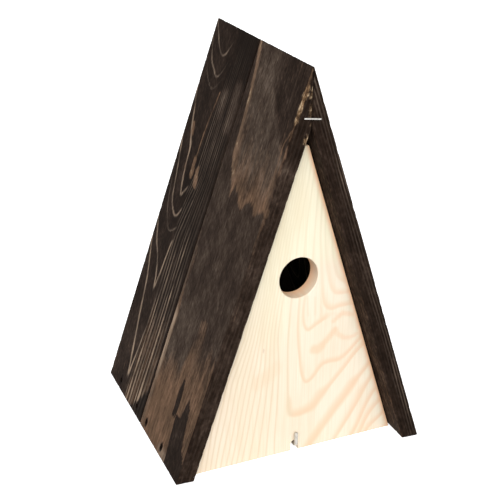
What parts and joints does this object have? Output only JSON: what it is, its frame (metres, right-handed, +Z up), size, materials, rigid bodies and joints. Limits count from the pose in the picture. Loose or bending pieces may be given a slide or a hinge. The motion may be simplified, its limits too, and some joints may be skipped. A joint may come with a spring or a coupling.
{
  "type": "tent-shaped wooden nest box",
  "caption": "Tent-shaped nest box of dark stained boards with a pale pine front, round bird entrance, turn hook at the foot and a hanging hole in the back.",
  "frame": {"origin": "centre of the ground footprint, on the level-cut feet", "axes": "+X to the right seen from the front, +Y from the front to the back, +Z up"},
  "size_m": [0.203, 0.188, 0.3061],
  "materials": {
    "stained_pine": "dark brown stain, brushed grain, matte",
    "bare_pine": "planed, untreated",
    "zinc_steel": "bright zinc plate"
  },
  "bodies": {
    "box": {"left_front_board": "stained_pine", "left_rear_board": "stained_pine", "right_front_board": "stained_pine", "right_rear_board": "stained_pine", "floor_board": "bare_pine", "back_panel": "bare_pine", "front_panel": "bare_pine", "front_staple": "zinc_steel", "rear_staple": "zinc_steel"},
    "hook": {"latch_hook": "zinc_steel"}
  },
  "joints": [
    {"name": "hook_turn", "type": "hinge", "parent": "box", "child": "hook", "pos_m": [0, -0.06, 0.0056], "axis": [0, 1, 0], "range_deg": [0, 180]}
  ]
}
